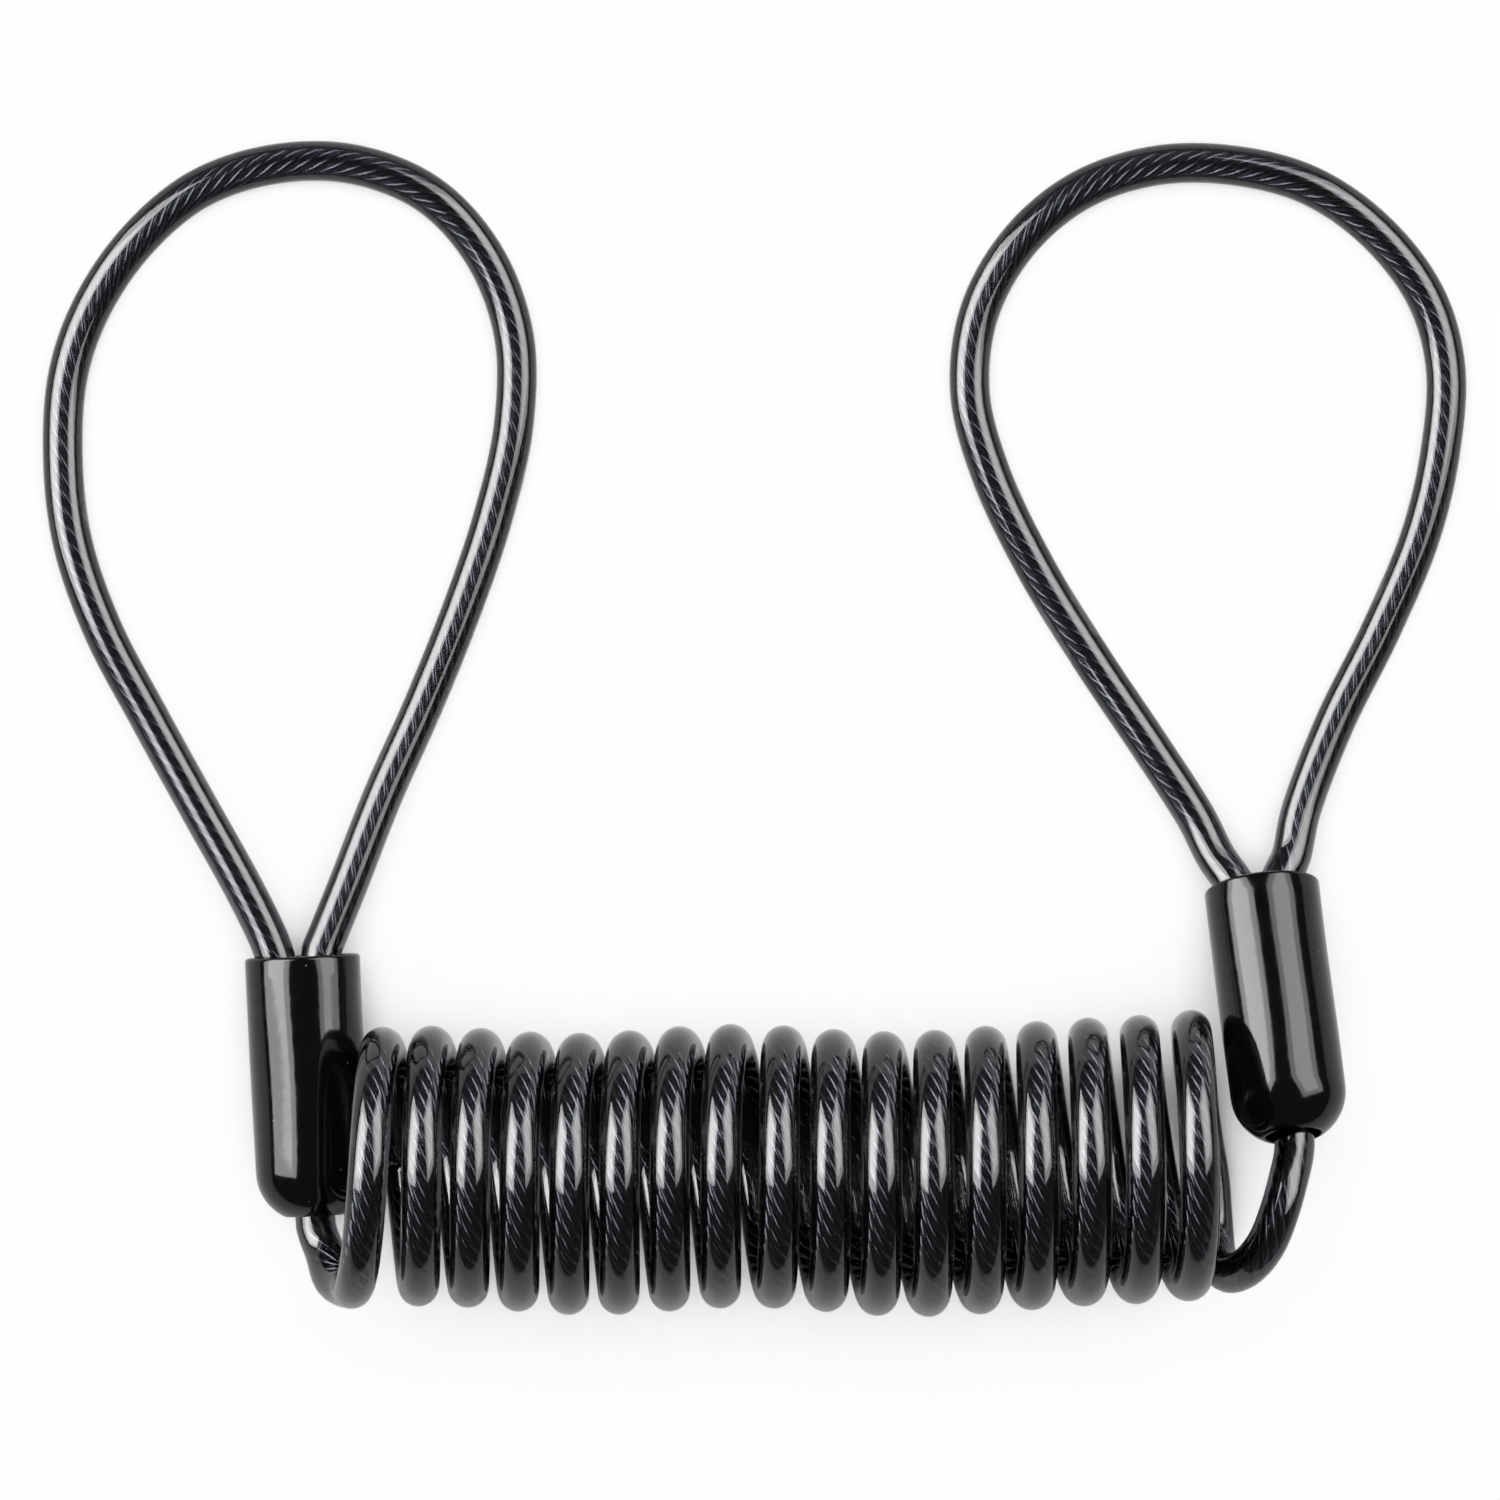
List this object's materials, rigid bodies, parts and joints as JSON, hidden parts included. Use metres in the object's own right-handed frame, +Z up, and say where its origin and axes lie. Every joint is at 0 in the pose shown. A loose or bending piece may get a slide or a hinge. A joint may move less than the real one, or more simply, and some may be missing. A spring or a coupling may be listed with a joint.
{
  "type": "coiled cable lock",
  "caption": "Coiled security cable of jacketed wire rope, with an eye at each end closed by a crimped ferrule in a vinyl sleeve; eyes go over a lock's shackle.",
  "frame": {"origin": "middle of the part's bounding box in plan, on the surface that it lies on", "axes": "+X along the coil towards its last turn, +Y from the coil towards the two eyes, +Z up from the surface it lies on"},
  "size_m": [0.1419, 0.1169, 0.0282],
  "materials": {
    "cable_jacket": "smoke-black extruded PVC, glossy",
    "steel_rope": "galvanised steel wire rope",
    "ferrule": "crimped, plain",
    "sleeve": "dip-moulded black vinyl, glossy"
  },
  "bodies": {
    "coil": {"coil_jacket": "cable_jacket", "coil_rope": "steel_rope", "left_lead_jacket": "cable_jacket", "left_lead_rope": "steel_rope"},
    "left_eye": {"left_eye_jacket": "cable_jacket", "left_eye_rope": "steel_rope", "left_ferrule": "ferrule", "left_sleeve": "sleeve"},
    "right_lead": {"right_lead_jacket": "cable_jacket", "right_lead_rope": "steel_rope"},
    "right_eye": {"right_eye_jacket": "cable_jacket", "right_eye_rope": "steel_rope", "right_ferrule": "ferrule", "right_sleeve": "sleeve"}
  },
  "joints": [
    {"name": "left_eye_swing", "type": "hinge", "parent": "coil", "child": "left_eye", "pos_m": [-0.0425, -0.0525, 0.007], "axis": [0, 0, 1], "range_deg": [0, 90], "stiffness_Nm_per_rad": 0.05, "deforming": ["left_lead_jacket", "left_lead_rope"]},
    {"name": "coil_stretch", "type": "slide", "parent": "coil", "child": "right_lead", "axis": [1, 0, 0], "range_m": [0, 0.6], "stiffness_N_per_m": 20, "deforming": ["coil_jacket", "coil_rope"]},
    {"name": "right_eye_swing", "type": "hinge", "parent": "right_lead", "child": "right_eye", "pos_m": [0.0482, -0.0539, 0.0108], "axis": [0, 0, -1], "range_deg": [0, 90], "stiffness_Nm_per_rad": 0.05, "deforming": ["right_lead_jacket", "right_lead_rope"]}
  ]
}
